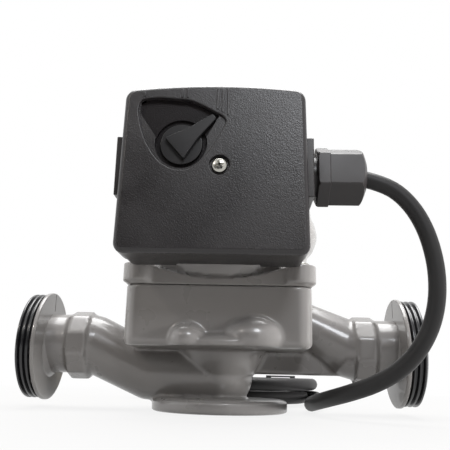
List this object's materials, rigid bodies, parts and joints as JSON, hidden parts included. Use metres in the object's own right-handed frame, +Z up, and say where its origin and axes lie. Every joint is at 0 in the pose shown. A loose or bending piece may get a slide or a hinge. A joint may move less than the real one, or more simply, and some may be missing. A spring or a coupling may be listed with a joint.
{
  "type": "circulation pump",
  "caption": "Wet-rotor circulation pump with inline threaded ports, square cast housing, black terminal box with a speed knob, cable gland and coiled mains lead.",
  "frame": {"origin": "centre of the base pad's underside, on the motor axis", "axes": "+X along the pipe towards the discharge port, -Y towards the terminal box and its knob, +Z up along the motor axis"},
  "size_m": [0.18, 0.2229, 0.133],
  "materials": {
    "cast_paint": "semi-gloss grey enamel over cast iron",
    "motor_paint": "semi-gloss grey enamel over die-cast aluminium",
    "box_plastic": "finely grained black plastic",
    "knob_plastic": "smooth satin black plastic",
    "gland_plastic": "satin black plastic",
    "lead_sheath": "matt black sheath",
    "plug_plastic": "satin black moulding",
    "pin_metal": "bare brass",
    "screw_steel": "zinc plated",
    "earth_steel": "green marked",
    "bright_steel": "drawn stainless steel",
    "core_steel": "stacked lamination steel",
    "winding": "enamelled copper wire",
    "impeller_plastic": "glass-filled plastic",
    "bearing_carbon": "carbon graphite",
    "seal_rubber": "moulded rubber",
    "vent_brass": "turned brass",
    "plate_metal": "blank satin plate",
    "terminal_plastic": "ivory plastic",
    "capacitor_plastic": "potted plastic case",
    "switch_plastic": "dark plastic",
    "core_red": "insulated wire",
    "core_brown": "insulated wire"
  },
  "bodies": {
    "pump": {"pump_housing": "cast_paint", "wear_ring": "bright_steel", "bearing_plate": "bright_steel", "front_bearing": "bearing_carbon", "rear_bearing": "bearing_carbon", "rotor_can": "bright_steel", "housing_gasket": "seal_rubber", "stator_core": "core_steel", "stator_windings": "winding", "motor_housing": "motor_paint", "flange_screws": "screw_steel", "can_seal": "seal_rubber", "vent_screw": "vent_brass", "nameplate": "plate_metal", "box_base": "box_plastic", "box_screws": "screw_steel", "earth_screw": "earth_steel", "lead_grommet": "seal_rubber", "motor_leads": "core_red", "terminal_block": "terminal_plastic", "terminal_screws": "screw_steel", "capacitor": "capacitor_plastic", "speed_switch": "switch_plastic", "cover_gasket": "seal_rubber", "box_cover": "box_plastic", "cover_screw": "screw_steel", "blanking_plate": "gland_plastic", "gland_plate": "gland_plastic", "gland_body": "gland_plastic", "gland_locknut": "gland_plastic", "gland_seal": "seal_rubber", "gland_nut": "gland_plastic", "lead_end": "lead_sheath", "lead_cores": "core_brown", "mains_lead": "lead_sheath", "lead_coil": "lead_sheath", "coil_ties": "knob_plastic", "plug_body": "plug_plastic", "plug_pins": "pin_metal"},
    "rotor": {"rotor_shaft": "bright_steel", "rotor_core": "bright_steel", "thrust_ring": "bearing_carbon", "impeller": "impeller_plastic"},
    "knob": {"speed_knob": "knob_plastic", "switch_spindle": "terminal_plastic"}
  },
  "joints": [
    {"name": "rotor_spin", "type": "hinge", "parent": "pump", "child": "rotor", "pos_m": [0, 0, 0.07], "axis": [0, 0, 1], "continuous": true},
    {"name": "knob_turn", "type": "hinge", "parent": "pump", "child": "knob", "pos_m": [-0.0143, -0.07, 0.1029], "axis": [0, -1, 0], "range_deg": [0, 97]}
  ]
}
